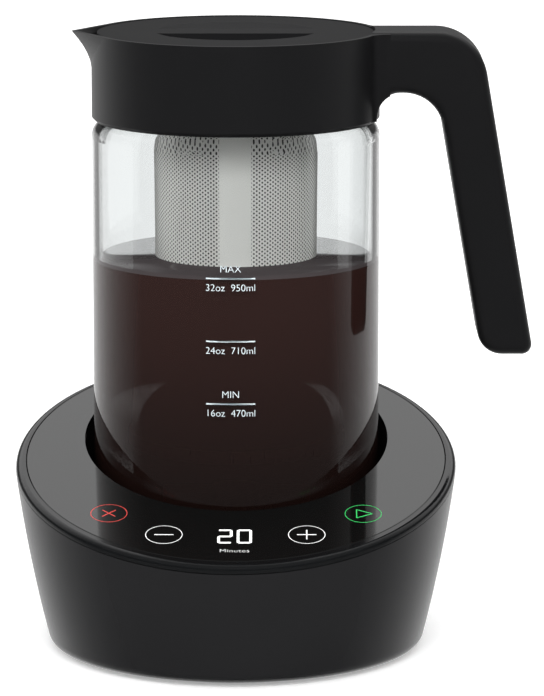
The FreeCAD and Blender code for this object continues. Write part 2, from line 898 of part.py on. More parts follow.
def make_lid_plug():
    """Ring that fits the collar's bore, with a pour window and a filter sleeve."""
    sleeve_out = groove_r + lid_clear + sleeve_wall
    sleeve_top = top_z - pocket_depth - pocket_floor - 2 * lid_clear
    ledge_top = lug_low_z - lug_play
    wall = tube(plug_r, plug_r - plug_wall, plug_low_z, plug_top_z, 0, pitcher_y)
    floor = tube(plug_r, sleeve_r, plug_low_z, plug_low_z + plug_floor, 0, pitcher_y)
    sleeve = tube(sleeve_out, groove_r + lid_clear, plug_low_z, sleeve_top, 0, pitcher_y)
    ledge = tube(sleeve_out, sleeve_r, ledge_top - ledge_h, ledge_top, 0, pitcher_y)
    plug = wall.fuse([floor, sleeve, ledge])
    for angle in lug_angles():
        notch = sector(
            filter_r_top, groove_r + lid_clear, 0, ledge_top + past, angle + release_deg,
            notch_deg, pitcher_y,
        )
        plug = plug.cut(notch)
    low = plug_low_z + window_low
    window = sector(plug_r - plug_wall - past, plug_r + past, low, low + window_h, 180,
                    window_deg, pitcher_y)
    drain = sector(sleeve_out + past, plug_r - plug_wall - past, plug_low_z - past,
                   plug_low_z + plug_floor + past, 180, window_deg * 2, pitcher_y)
    groove_low = plug_low_z + gasket_up
    groove = tube(plug_r + past, plug_r - gasket_in, groove_low, groove_low + gasket_h, 0, pitcher_y)
    return plug.cut([window, drain, groove]).removeSplitter()


def make_lid_gasket():
    """Silicone ring in the plug's groove."""
    z0 = plug_low_z + gasket_up
    return tube(plug_r + gasket_out, plug_r - gasket_in, z0, z0 + gasket_h, 0, pitcher_y)


def make_lid_cap():
    """Turning cap with a grip bar across a dished finger pocket."""
    low = recess_z + plug_top_gap / 2
    high = top_z - cap_drop
    cap = vertical(lid_recess_r - lid_clear, low, high, 0, pitcher_y)
    cap = round_edges(cap, cap_edge, lambda e: e.BoundBox.ZMin > high - cap_edge
                      and e.Length > collar_r)
    under = pocket_r + pocket_floor
    cap = cap.fuse(vertical(under, top_z - pocket_depth - pocket_floor, low, 0, pitcher_y))
    skirt_r = plug_r - plug_wall - lid_clear
    skirt = tube(skirt_r, skirt_r - skirt_wall, low - skirt_h, low, 0, pitcher_y)
    window_z = plug_low_z + window_low
    window = sector(skirt_r - skirt_wall - past, skirt_r + past, window_z, window_z + window_h,
                    180, window_deg, pitcher_y)
    cap = cap.fuse(skirt.cut(window))
    dish_r = (pocket_r ** 2 + pocket_depth ** 2) / (2 * pocket_depth)
    dish = Part.makeSphere(dish_r, Vector(0, pitcher_y, high - pocket_depth + dish_r))
    bar = block(2 * big, pocket_bar, big, 0, pitcher_y, 0)
    return cap.cut(dish.cut(bar)).removeSplitter()


def make_filter_rim():
    """Ring at the filter's mouth with bayonet lugs."""
    inner = filter_r_top + filter_fit
    ring = tube(filter_r_top + rim_wall, inner, rim_top_z - rim_h, rim_top_z, 0, pitcher_y)
    for angle in lug_angles():
        lug = sector(filter_r_top + rim_wall / 2, groove_r, lug_low_z, lug_low_z + lug_h, angle,
                     lug_deg, pitcher_y)
        ring = ring.fuse(lug)
    return ring.removeSplitter()


def make_filter_screen():
    """Tapered steel tube of the filter."""
    low = filter_low_z + filter_cup_thick
    return revolve([
        (filter_r_low, low),
        (filter_r_top, rim_top_z),
        (filter_r_top - filter_wall, rim_top_z),
        (filter_r_low - filter_wall, low),
    ], pitcher_y)


def make_filter_base():
    """Pressed cup that closes the filter."""
    low = filter_low_z
    taper = filter_taper / (rim_top_z - low)
    room = filter_r_low + filter_fit + taper * filter_cup_h
    cup = vertical(room + filter_cup_thick, low, low + filter_cup_h, 0, pitcher_y)
    cup = round_edges(cup, filter_cup_thick, lambda e: abs(e.BoundBox.ZMax - low) < 0.01)
    return cup.cut(vertical(room, low + filter_cup_thick, big, 0, pitcher_y))


nodes = {
    "base_housing": make_base_housing,
    "bottom_plate": make_bottom_plate,
    "foot_ring": make_foot_ring,
    "base_screws": make_base_screws,
    "rim_ring": make_rim_ring,
    "touch_panel": make_touch_panel,
    "pitcher_well": make_pitcher_well,
    "touch_board": make_touch_board,
    "touch_springs": make_touch_springs,
    "display_module": make_display_module,
    "motor": make_motor,
    "motor_bracket": make_motor_bracket,
    "motor_screws": make_motor_screws,
    "main_board": make_main_board,
    "power_supply": make_power_supply,
    "capacitors": make_capacitors,
    "cord_gland": make_cord_gland,
    "motor_shaft": make_motor_shaft,
    "magnet_carrier": make_magnet_carrier,
    "drive_magnets": make_drive_magnets,
    "glass_vessel": make_glass_vessel,
    "pour_collar": make_pour_collar,
    "collar_seal": make_collar_seal,
    "stirrer_paddle": make_stirrer_paddle,
    "stirrer_magnet": make_stirrer_magnet,
    "lid_plug": make_lid_plug,
    "lid_gasket": make_lid_gasket,
    "lid_cap": make_lid_cap,
    "filter_rim": make_filter_rim,
    "filter_screen": make_filter_screen,
    "filter_base": make_filter_base,
}

os.makedirs("parts", exist_ok=True)
for name, make in nodes.items():
    shape = make()
    box = shape.BoundBox
    shape.exportStep("parts/" + name + ".step")
    print(name, len(shape.Solids), shape.isValid(), round(shape.Volume),
          "x %.1f %.1f y %.1f %.1f z %.1f %.1f" % (
              box.XMin, box.XMax, box.YMin, box.YMax, box.ZMin, box.ZMax))
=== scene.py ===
import math

import bmesh
import bpy
from mathutils import Matrix, Vector


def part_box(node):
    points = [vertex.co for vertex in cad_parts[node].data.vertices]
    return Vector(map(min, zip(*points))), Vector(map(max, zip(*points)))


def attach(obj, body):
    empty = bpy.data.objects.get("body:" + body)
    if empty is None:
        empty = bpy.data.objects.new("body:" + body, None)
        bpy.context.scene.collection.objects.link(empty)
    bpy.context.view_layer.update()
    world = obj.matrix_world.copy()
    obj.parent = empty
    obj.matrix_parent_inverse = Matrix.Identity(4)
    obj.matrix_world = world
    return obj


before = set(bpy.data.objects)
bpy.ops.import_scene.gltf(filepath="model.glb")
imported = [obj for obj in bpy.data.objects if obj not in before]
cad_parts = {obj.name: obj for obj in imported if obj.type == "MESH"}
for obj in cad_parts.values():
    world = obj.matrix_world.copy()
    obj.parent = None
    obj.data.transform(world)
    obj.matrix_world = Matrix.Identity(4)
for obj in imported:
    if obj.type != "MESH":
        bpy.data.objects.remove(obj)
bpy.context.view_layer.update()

# Base housing
# A deep bowl moulded in black ABS, polished to a satin gloss. It widens upwards and is
# cut off on a slope, with a dark seam where the rim ring sits on it.
mm = 0.001


def linear(colour):
    """Turns an sRGB hex colour into the linear RGBA that a shader takes."""
    parts = [int(colour[i:i + 2], 16) / 255 for i in (1, 3, 5)]
    return [c / 12.92 if c <= 0.04045 else ((c + 0.055) / 1.055) ** 2.4 for c in parts] + [1.0]


def put(tree, kind, inputs, **settings):
    """Adds a node with its settings. An input is a value or another node's output."""
    made = tree.nodes.new(kind)
    for name, value in settings.items():
        setattr(made, name, value)
    for name, value in inputs.items():
        if isinstance(value, bpy.types.NodeSocket):
            tree.links.new(value, made.inputs[name])
        else:
            made.inputs[name].default_value = value
    return made


def start_material(name):
    """A material with its node tree and its shader node."""
    made = bpy.data.materials.new(name)
    made.use_nodes = True
    return made, made.node_tree, made.node_tree.nodes["Principled BSDF"]


def moulded_plastic(name, colour, roughness, specular, grain, relief, ior=1.5):
    """Injection-moulded plastic: the mould's fine grain as relief, and a faint drift in
    colour and gloss that comes from handling and from how the plastic flowed."""
    made, tree, shader = start_material(name)
    place = put(tree, "ShaderNodeTexCoord", {}).outputs["Object"]
    fine = put(tree, "ShaderNodeTexNoise", {"Vector": place, "Scale": 1 / grain, "Detail": 3.0})
    drift = put(tree, "ShaderNodeTexNoise",
                {"Vector": place, "Scale": 1 / (45 * mm), "Detail": 2.0})
    dark = [c * 0.9 for c in linear(colour)[:3]] + [1.0]
    light = [min(c * 1.1, 1.0) for c in linear(colour)[:3]] + [1.0]
    tint = put(tree, "ShaderNodeMix", {"Factor": drift.outputs["Fac"], "A": dark, "B": light},
               data_type="RGBA")
    gloss = put(tree, "ShaderNodeMapRange", {"Value": drift.outputs["Fac"],
                                             "To Min": roughness - 0.03,
                                             "To Max": roughness + 0.03})
    bump = put(tree, "ShaderNodeBump",
               {"Height": fine.outputs["Fac"], "Strength": relief, "Distance": 0.05 * mm})
    tree.links.new(tint.outputs["Result"], shader.inputs["Base Color"])
    tree.links.new(gloss.outputs["Result"], shader.inputs["Roughness"])
    tree.links.new(bump.outputs["Normal"], shader.inputs["Normal"])
    shader.inputs["Specular IOR Level"].default_value = specular
    shader.inputs["IOR"].default_value = ior
    return made


def dress(material, *names):
    """Gives a material to whole CAD nodes."""
    for name in names:
        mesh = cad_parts[name].data
        mesh.materials.clear()
        mesh.materials.append(material)


# Satin-gloss ABS: deep black that greys towards its edges as it mirrors the room.
dress(moulded_plastic("abs_satin_moulded", "#1b1b1c", 0.26, 0.3, 0.5 * mm, 0.05), "base_housing")

# Rim ring
# A separate ring moulded in high-gloss ABS, snapped into the housing's mouth. It frames
# the touch panel with a rounded black lip.
dress(moulded_plastic("abs_gloss_moulded", "#0c0d0e", 0.1, 0.55, 0.8 * mm, 0.02), "rim_ring")

# Touch panel
# A sheet of hard-coated black acrylic let into the ring, polished like a mirror, with a
# round hole for the pitcher. Its high gloss turns grey where it mirrors white walls.
dress(moulded_plastic("acrylic_polished_black", "#0a0b0b", 0.06, 0.5, 2.0 * mm, 0.01, 1.7),
      "touch_panel")

# Pitcher well
# A deep moulded ABS cup under the panel that centres the pitcher, in fine satin black.
dress(moulded_plastic("abs_fine_satin", "#0d0d0e", 0.35, 0.3, 0.4 * mm, 0.08), "pitcher_well")

# Touch marks
# Rings and signs printed on the panel's face and lit from behind by the board's lamps:
# stop in red, less and more in white, start in green. Each is a thin film of ink.
slope = math.radians(15.8)
panel_low, panel_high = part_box("touch_panel")
panel_mid_y = (panel_low.y + panel_high.y) / 2
panel_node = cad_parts["touch_panel"]
panel_up = Vector((0, -math.sin(slope), math.cos(slope)))
panel_face = max((panel_node.matrix_world @ v.co).dot(panel_up) for v in panel_node.data.vertices)
panel_mid_z = (panel_face + panel_mid_y * math.sin(slope)) / math.cos(slope)
film = 0.04 * mm
film_gap = 0.01 * mm
capital_share = 0.69
mark_r = 7.15 * mm
mark_line = 0.28 * mm
stop_spot = (-49.8 * mm, 49.2 * mm)
less_spot = (-27.7 * mm, 66.7 * mm)
more_spot = (28.2 * mm, 66.7 * mm)
start_spot = (50.6 * mm, 49.6 * mm)


def lit_ink(name, colour, strength):
    """Translucent ink lit from behind, a little uneven where the lamp sits under it."""
    made, tree, shader = start_material(name)
    place = put(tree, "ShaderNodeTexCoord", {}).outputs["Object"]
    patch = put(tree, "ShaderNodeTexNoise", {"Vector": place, "Scale": 1 / (3 * mm), "Detail": 1.0})
    glow = put(tree, "ShaderNodeMapRange", {"Value": patch.outputs["Fac"], "To Min": strength * 0.8,
                                            "To Max": strength * 1.2})
    shader.inputs["Base Color"].default_value = linear(colour)
    shader.inputs["Emission Color"].default_value = linear(colour)
    shader.inputs["Roughness"].default_value = 0.4
    tree.links.new(glow.outputs["Result"], shader.inputs["Emission Strength"])
    return made


def start_edit(piece):
    """Selects one piece alone and opens it in edit mode with all of it selected."""
    bpy.ops.object.select_all(action="DESELECT")
    bpy.context.view_layer.objects.active = piece
    piece.select_set(True)
    bpy.ops.object.mode_set(mode="EDIT")
    bpy.ops.mesh.select_all(action="SELECT")


def flat_bar(length, width, x, y, degrees=0.0, corner=0.3):
    """A flat printed stroke in the XY plane with softened ends."""
    bpy.ops.object.select_all(action="DESELECT")
    bpy.ops.mesh.primitive_cube_add(size=1)
    bar = bpy.context.object
    start_edit(bar)
    bpy.ops.transform.resize(value=(length, width, film))
    bpy.ops.mesh.bevel(offset=min(width * corner, width * 0.45), segments=3, affect="VERTICES",
                       clamp_overlap=True)
    bpy.ops.object.mode_set(mode="OBJECT")
    bar.rotation_euler.z = math.radians(degrees)
    bar.location = (x, y, 0)
    bpy.ops.object.transform_apply(location=True, rotation=True, scale=True)
    return bar


def flat_ring(radius, line):
    """A flat printed ring in the XY plane."""
    bpy.ops.object.select_all(action="DESELECT")
    bpy.ops.mesh.primitive_torus_add(major_radius=radius, minor_radius=line / 2,
                                     major_segments=96, minor_segments=8)
    ring = bpy.context.object
    start_edit(ring)
    bpy.ops.transform.resize(value=(1, 1, film / line))
    bpy.ops.object.mode_set(mode="OBJECT")
    return ring


def flat_text(words, cap_height, spacing=1.0, thin=0.0):
    """Lettering in the XY plane, made a mesh; cap_height is the height of a capital, and
    thin is what its strokes lose on each side."""
    bpy.ops.object.select_all(action="DESELECT")
    bpy.ops.object.text_add()
    text = bpy.context.object
    text.data.body = words
    text.data.size = cap_height / capital_share
    text.data.align_x = "CENTER"
    text.data.align_y = "CENTER"
    text.data.space_character = spacing
    text.data.offset = -thin
    text.data.extrude = film / 2
    text.data.resolution_u = 4
    bpy.ops.object.convert(target="MESH")
    return bpy.context.object


def join_as(name, material, pieces):
    """Joins flat strokes into one piece with one material."""
    bpy.ops.object.select_all(action="DESELECT")
    for piece in pieces:
        piece.select_set(True)
    bpy.context.view_layer.objects.active = pieces[0]
    if len(pieces) > 1:
        bpy.ops.object.join()
    whole = bpy.context.object
    whole.name = name
    whole.data.name = name
    whole.data.materials.clear()
    whole.data.materials.append(material)
    return whole


def lay_on_panel(piece, spot):
    """Lays a flat piece on the sloped panel, spot being across and down its slope."""
    across, down = spot
    turn = Matrix.Rotation(slope, 4, "X")
    base_point = Vector((0, panel_mid_y, panel_mid_z))
    place = base_point + turn @ Vector((across, -down, film / 2 + film_gap))
    piece.matrix_world = Matrix.Translation(place) @ turn
    bpy.ops.object.select_all(action="DESELECT")
    piece.select_set(True)
    bpy.context.view_layer.objects.active = piece
    bpy.ops.object.transform_apply(location=True, rotation=True, scale=True)
    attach(piece, "base")


red_ink = lit_ink("ink_lit_red", "#c8423c", 0.35)
white_ink = lit_ink("ink_lit_white", "#e6e6e6", 0.55)
green_ink = lit_ink("ink_lit_green", "#2fb35a", 0.4)
cross_reach = 7.4 * mm
lay_on_panel(join_as("stop_mark", red_ink, [
    flat_ring(mark_r, mark_line),
    flat_bar(cross_reach, mark_line * 1.6, 0, 0, 45),
    flat_bar(cross_reach, mark_line * 1.6, 0, 0, -45),
]), stop_spot)
sign_reach = 7.6 * mm
lay_on_panel(join_as("less_mark", white_ink, [
    flat_ring(mark_r, mark_line),
    flat_bar(sign_reach, mark_line * 1.8, 0, 0),
]), less_spot)
lay_on_panel(join_as("more_mark", white_ink, [
    flat_ring(mark_r, mark_line),
    flat_bar(sign_reach, mark_line * 1.8, 0, 0),
    flat_bar(sign_reach, mark_line * 1.8, 0, 0, 90),
]), more_spot)
play_back = -2.6 * mm
play_tip = 3.6 * mm
play_half = 3.4 * mm
play_side = math.hypot(play_tip - play_back, play_half)
play_turn = math.degrees(math.atan2(play_half, play_tip - play_back))
play_mid = (play_back + play_tip) / 2
lay_on_panel(join_as("start_mark", green_ink, [
    flat_ring(mark_r, mark_line),
    flat_bar(play_half * 2, mark_line * 1.6, play_back, 0, 90),
    flat_bar(play_side, mark_line * 1.6, play_mid, play_half / 2, -play_turn),
    flat_bar(play_side, mark_line * 1.6, play_mid, -play_half / 2, play_turn),
]), start_spot)

# Time display
# Two seven-segment digits that shine through the panel, with the plain word for their
# unit printed under them. The place above them is bare.
digit_w = 5.9 * mm
digit_h = 11.0 * mm
digit_line = 1.0 * mm
digit_pitch = 7.6 * mm
segment_gap = 0.25 * mm
digits_down = 68.2 * mm
label_down = 79.8 * mm
label_cap = 2.5 * mm
label_spacing = 1.03
label_thin = 0.08 * mm
half_h = digit_h / 2 - digit_line / 2
half_w = digit_w / 2 - digit_line / 2
segments = {
    "a": (0, half_h, 0), "g": (0, 0, 0), "d": (0, -half_h, 0),
    "f": (-half_w, half_h / 2, 90), "b": (half_w, half_h / 2, 90),
    "e": (-half_w, -half_h / 2, 90), "c": (half_w, -half_h / 2, 90),
}
digit_strokes = []
for lit, shift in (("abged", -digit_pitch / 2), ("abcdef", digit_pitch / 2)):
    for letter in lit:
        x, y, degrees = segments[letter]
        reach = (half_h if degrees else 2 * half_w) - segment_gap
        digit_strokes.append(flat_bar(reach, digit_line, x + shift, y, degrees, 0.4))
lay_on_panel(join_as("time_digits", lit_ink("lamp_digits_white", "#f2f2f2", 0.9), digit_strokes),
             (0, digits_down))
label = flat_text("Minutes", label_cap, label_spacing, label_thin)
lay_on_panel(join_as("time_label", white_ink, [label]), (0, label_down))

# Bottom plate, foot and gland
# The plate is moulded ABS left matt. The foot is a soft rubber ring pressed into its
# groove, and the gland a rubber bushing snapped into the back wall.
dress(moulded_plastic("abs_matt_moulded", "#242425", 0.6, 0.4, 0.6 * mm, 0.3), "bottom_plate")
rubber_material = moulded_plastic("rubber_moulded_soft", "#1c1c1c", 0.8, 0.25, 0.3 * mm, 0.4)
dress(rubber_material, "foot_ring", "cord_gland")


# Steel fasteners and the drive's metal pieces
# Zinc-plated screws, a pressed steel bracket, a drawn motor can, contact springs and a
# ground shaft. All are bare metal with fine lines from rolling, drawing or turning.
def worked_steel(name, colour, roughness, line, stretch):
    """Bare steel with fine lines drawn out along Z or round it by stretch."""
    made, tree, shader = start_material(name)
    place = put(tree, "ShaderNodeTexCoord", {}).outputs["Object"]
    drawn = put(tree, "ShaderNodeMapping", {"Vector": place, "Scale": stretch})
    lines = put(tree, "ShaderNodeTexNoise",
                {"Vector": drawn.outputs["Vector"], "Scale": 1 / line, "Detail": 4.0})
    gloss = put(tree, "ShaderNodeMapRange", {"Value": lines.outputs["Fac"],
                                             "To Min": roughness - 0.08,
                                             "To Max": roughness + 0.08})
    bump = put(tree, "ShaderNodeBump", {"Height": lines.outputs["Fac"], "Strength": 0.15,
                                        "Distance": 0.03 * mm})
    tree.links.new(gloss.outputs["Result"], shader.inputs["Roughness"])
    tree.links.new(bump.outputs["Normal"], shader.inputs["Normal"])
    shader.inputs["Base Color"].default_value = linear(colour)
    shader.inputs["Metallic"].default_value = 1.0
    return made


dress(worked_steel("steel_zinc_plated", "#b9bcc0", 0.32, 0.4 * mm, (1, 1, 0.2)),
      "base_screws", "motor_screws")
dress(worked_steel("steel_drawn_can", "#a9abad", 0.35, 0.5 * mm, (1, 1, 0.1)), "motor")
dress(worked_steel("steel_pressed_sheet", "#b2b4b5", 0.38, 0.6 * mm, (0.1, 1, 1)), "motor_bracket")
dress(worked_steel("steel_spring_wire", "#c8c2a8", 0.3, 0.3 * mm, (1, 1, 3)), "touch_springs")
dress(worked_steel("steel_ground_bar", "#c4c6c8", 0.2, 0.2 * mm, (0.2, 0.2, 2)), "motor_shaft")
dress(worked_steel("magnet_nickel_plated", "#c9c6bd", 0.18, 0.8 * mm, (1, 1, 1)),
      "drive_magnets", "stirrer_magnet")


# Circuit boards
# Glass-fibre boards under green solder mask, with etched tracks that show as lighter
# green lines on a square grid.
def circuit_board(name):
    """Green solder mask over a grid of etched copper tracks."""
    made, tree, shader = start_material(name)
    place = put(tree, "ShaderNodeTexCoord", {}).outputs["Object"]
    cells = put(tree, "ShaderNodeTexBrick", {
        "Vector": place, "Scale": 1 / (5 * mm), "Mortar Size": 0.06, "Mortar Smooth": 0.2,
        "Color1": linear("#0f5a34"), "Color2": linear("#0c4f2e"), "Mortar": linear("#2b8a54"),
    })
    bump = put(tree, "ShaderNodeBump", {"Height": cells.outputs["Fac"], "Strength": 0.3,
                                        "Distance": 0.04 * mm})
    tree.links.new(cells.outputs["Color"], shader.inputs["Base Color"])
    tree.links.new(bump.outputs["Normal"], shader.inputs["Normal"])
    shader.inputs["Roughness"].default_value = 0.35
    return made


dress(circuit_board("board_glass_fibre"), "touch_board", "main_board")

# Pieces on the boards
# A taped transformer block, sleeved capacitors and the display's moulded housing.
dress(moulded_plastic("tape_polyester_yellow", "#c9a53a", 0.4, 0.5, 1.5 * mm, 0.2), "power_supply")
dress(moulded_plastic("sleeve_vinyl_black", "#1f2024", 0.3, 0.5, 1.0 * mm, 0.1), "capacitors")
dress(moulded_plastic("polycarbonate_grey", "#8a8b8d", 0.45, 0.5, 0.6 * mm, 0.15), "display_module")

# Magnet carrier and stirrer
# Both are moulded in white acetal, which is slippery and slightly waxy to the eye.
acetal_material = moulded_plastic("acetal_moulded_white", "#dcdbd6", 0.38, 0.5, 0.5 * mm, 0.1)
dress(acetal_material, "magnet_carrier", "stirrer_paddle")


# Glass
# Blown borosilicate with a drawn-in neck, fire-polished and clear. Its thick wall bends
# what stands behind it into dark lines at both sides.
def clear_glass(name, colour, ior):
    """Smooth clear glass. Light for shadows goes straight through, so that what stands
    inside is lit as it is in a thin-walled jug."""
    made, tree, shader = start_material(name)
    place = put(tree, "ShaderNodeTexCoord", {}).outputs["Object"]
    waves = put(tree, "ShaderNodeTexNoise",
                {"Vector": place, "Scale": 1 / (30 * mm), "Detail": 1.0})
    bump = put(tree, "ShaderNodeBump", {"Height": waves.outputs["Fac"], "Strength": 0.05,
                                        "Distance": 0.1 * mm})
    tree.links.new(bump.outputs["Normal"], shader.inputs["Normal"])
    shader.inputs["Base Color"].default_value = linear(colour)
    shader.inputs["Transmission Weight"].default_value = 1.0
    shader.inputs["Roughness"].default_value = 0.0
    shader.inputs["IOR"].default_value = ior
    light_path = put(tree, "ShaderNodeLightPath", {})
    open_way = put(tree, "ShaderNodeBsdfTransparent", {"Color": linear("#f4f6f6")})
    mixed = put(tree, "ShaderNodeMixShader", {0: light_path.outputs["Is Shadow Ray"],
                                              1: shader.outputs["BSDF"],
                                              2: open_way.outputs["BSDF"]})
    tree.links.new(mixed.outputs["Shader"], tree.nodes["Material Output"].inputs["Surface"])
    return made


dress(clear_glass("borosilicate_clear", "#fafcfc", 1.47), "glass_vessel")

# Coffee
# The brewed coffee that fills the glass to its upper mark, nearly black with a red-brown
# cast. It climbs a little where it wets the glass and the filter.
glass_low, glass_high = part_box("glass_vessel")
glass_r = (glass_high.x - glass_low.x) / 2
axis_y = (glass_low.y + glass_high.y) / 2
glass_wall = 2.6 * mm
glass_bottom = 3.6 * mm
wet_overlap = 0.03 * mm
lid_clearance = 0.2 * mm
lid_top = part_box("lid_cap")[1].z + lid_clearance
coffee_level = lid_top - 92.0 * mm
coffee_r = glass_r - glass_wall + wet_overlap
coffee_low = glass_low.z + glass_bottom - wet_overlap
inner_corner = 4.4 * mm
screen_low, screen_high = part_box("filter_screen")
screen_r = (screen_high.x - screen_low.x) / 2
climb = 1.3 * mm
glass_reach = 0.9 * mm
screen_climb = 0.8
screen_reach = 0.7 * mm
bpy.ops.object.select_all(action="DESELECT")
bpy.ops.mesh.primitive_cylinder_add(
    vertices=192, radius=coffee_r, depth=coffee_level - coffee_low,
    location=(0, axis_y, (coffee_level + coffee_low) / 2))
coffee = bpy.context.object
coffee.name = "coffee"
bpy.ops.object.transform_apply(location=True, rotation=True, scale=True)
start_edit(coffee)
bpy.ops.mesh.select_all(action="DESELECT")
shape = bmesh.from_edit_mesh(coffee.data)
for edge in shape.edges:
    edge.select = all(v.co.z < coffee_low + 0.01 * mm for v in edge.verts)
bpy.ops.mesh.bevel(offset=inner_corner, segments=8, affect="EDGES")
shape = bmesh.from_edit_mesh(coffee.data)
bpy.ops.mesh.select_all(action="DESELECT")
for face in shape.faces:
    face.select = face.normal.z > 0.99 and face.calc_center_median().z > coffee_level - 0.1 * mm
surface_steps = [0.25 * mm, 0.5 * mm, 0.9 * mm, 1.6 * mm, coffee_r - screen_r - 5.5 * mm,
                 1.2 * mm, 0.6 * mm, 0.4 * mm]
for step in surface_steps:
    bpy.ops.mesh.inset(thickness=step, depth=0)
bpy.ops.object.mode_set(mode="OBJECT")
for vertex in coffee.data.vertices:
    if vertex.co.z > coffee_level - 0.1 * mm:
        away = math.hypot(vertex.co.x, vertex.co.y - axis_y)
        to_glass = coffee_r - away
        to_screen = max(away - screen_r, 0.0)
        at_screen = screen_climb * math.exp(-to_screen / screen_reach)
        vertex.co.z += climb * (math.exp(-to_glass / glass_reach) + at_screen)
for polygon in coffee.data.polygons:
    polygon.use_smooth = True


def brewed_coffee(name):
    """Clear liquid that swallows blue and green at once and red a little later. Its finest
    grounds scatter some red-brown light, and painted shade darkens it towards the bottom.
    Its open surface is painted an opaque dark grey, a painted reflection of the room."""
    made, tree, shader = start_material(name)
    place = put(tree, "ShaderNodeTexCoord", {}).outputs["Object"]
    high = put(tree, "ShaderNodeSeparateXYZ", {"Vector": place}).outputs["Z"]
    # Painted shade: the scattering colour of the coffee darkens towards its bottom.
    depth = put(tree, "ShaderNodeMapRange", {"Value": high, "From Min": coffee_low,
                                             "From Max": coffee_level - climb})
    haze_and_painted_shade = put(tree, "ShaderNodeMix", {"Factor": depth.outputs["Result"], "A": linear("#4c3530"),
                                       "B": linear("#8f6059")}, data_type="RGBA")
    # Painted reflection: the open top is opaque dark grey in place of the liquid's mirror.
    open_top = put(tree, "ShaderNodeMath", {0: high, 1: coffee_level - 0.2 * mm},
                   operation="GREATER_THAN")
    tint = put(tree, "ShaderNodeMix", {"Factor": open_top.outputs[0], "A": haze_and_painted_shade.outputs["Result"],
                                       "B": linear("#4a4344")}, data_type="RGBA")
    clear = put(tree, "ShaderNodeMapRange", {"Value": open_top.outputs[0], "To Min": 0.92,
                                             "To Max": 0.0})
    tree.links.new(tint.outputs["Result"], shader.inputs["Base Color"])
    tree.links.new(clear.outputs["Result"], shader.inputs["Transmission Weight"])
    ripple = put(tree, "ShaderNodeTexNoise",
                 {"Vector": place, "Scale": 1 / (8 * mm), "Detail": 2.0})
    bump = put(tree, "ShaderNodeBump", {"Height": ripple.outputs["Fac"], "Strength": 0.04,
                                        "Distance": 0.05 * mm})
    tree.links.new(bump.outputs["Normal"], shader.inputs["Normal"])
    shader.inputs["Roughness"].default_value = 0.0
    shader.inputs["IOR"].default_value = 1.34
    absorb = put(tree, "ShaderNodeVolumeAbsorption", {"Color": (0.6, 0.15, 0.08, 1.0),
                                                      "Density": 30.0})
    tree.links.new(absorb.outputs["Volume"], tree.nodes["Material Output"].inputs["Volume"])
    return made


coffee.data.materials.append(brewed_coffee("coffee_brewed"))
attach(coffee, "pitcher")

# Volume marks
# Lines and figures for ounces and millilitres, screen-printed in white enamel on the
# front of the glass and fired on.
print_gap = 0.03 * mm
print_x = -1.7 * mm
bar_len = 19.5 * mm
bar_line = 0.56 * mm
figure_cap = 2.75 * mm
figure_thin = 0.04 * mm
figure_drop = 3.8 * mm
word_rise = 3.7 * mm
marks = [
    ("MAX", "32oz  950ml", 91.3 * mm),
    ("", "24oz  710ml", 116.4 * mm),
    ("MIN", "16oz  470ml", 141.5 * mm),
]


def fired_enamel(name):
    """White glass enamel, slightly thin in places so that the glass shows through."""
    made, tree, shader = start_material(name)
    place = put(tree, "ShaderNodeTexCoord", {}).outputs["Object"]
    patch = put(tree, "ShaderNodeTexNoise",
                {"Vector": place, "Scale": 1 / (1.2 * mm), "Detail": 2.0})
    tint = put(tree, "ShaderNodeMix", {"Factor": patch.outputs["Fac"], "A": linear("#b4c0c5"),
                                       "B": linear("#d2dadd")}, data_type="RGBA")
    tree.links.new(tint.outputs["Result"], shader.inputs["Base Color"])
    shader.inputs["Roughness"].default_value = 0.45
    return made


strokes = []
for word, figures, drop in marks:
    line = flat_bar(bar_len, bar_line, 0, -drop, 0, 0.4)
    start_edit(line)
    bpy.ops.mesh.subdivide(number_cuts=12)
    bpy.ops.object.mode_set(mode="OBJECT")
    strokes.append(line)
    for text, rise in ((figures, -figure_drop), (word, word_rise)):
        if text:
            piece = flat_text(text, figure_cap, thin=figure_thin)
            piece.location = (0, rise - drop, 0)
            bpy.ops.object.transform_apply(location=True, rotation=True, scale=True)
            strokes.append(piece)
volume_print = join_as("volume_print", fired_enamel("enamel_fired_white"), strokes)
for vertex in volume_print.data.vertices:
    x, y, z = vertex.co
    turn = (x + print_x) / glass_r
    away = glass_r + print_gap + film / 2 + z
    vertex.co = (away * math.sin(turn), axis_y - away * math.cos(turn), lid_top + y)
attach(volume_print, "pitcher")

# Collar with spout and handle
# One moulding in black polypropylene that grips the glass neck. Its surface is matt and
# slightly grainy, so that light spreads softly over it.
dress(moulded_plastic("polypropylene_matt_black", "#101011", 0.42, 0.35, 0.35 * mm, 0.25),
      "pour_collar", "lid_plug")

# Turning cap
# The lid's cap is moulded in the same matt polypropylene, with two pockets for fingers
# and a bar between them. Its colour is painted a shade lighter than the collar's, as painted light
# for its face turned up to the lamps.
dress(moulded_plastic("polypropylene_cap_painted_lighter", "#171718", 0.5, 0.08, 0.35 * mm, 0.25), "lid_cap")

# Seals
# Grey-black silicone rings, pressed, soft and matt, that catch a little dust.
dress(moulded_plastic("silicone_pressed", "#2b2b2c", 0.7, 0.35, 0.4 * mm, 0.3),
      "collar_seal", "lid_gasket")

# Filter
# A tube rolled from thin stainless sheet and etched with rows of fine holes, left plain
# along its seam. Its rim and base are pressed from the same bright steel.
hole_across = 1.16 * mm
hole_down = 1.63 * mm
hole_r = 0.38 * mm
plain_half = 6.5 * mm


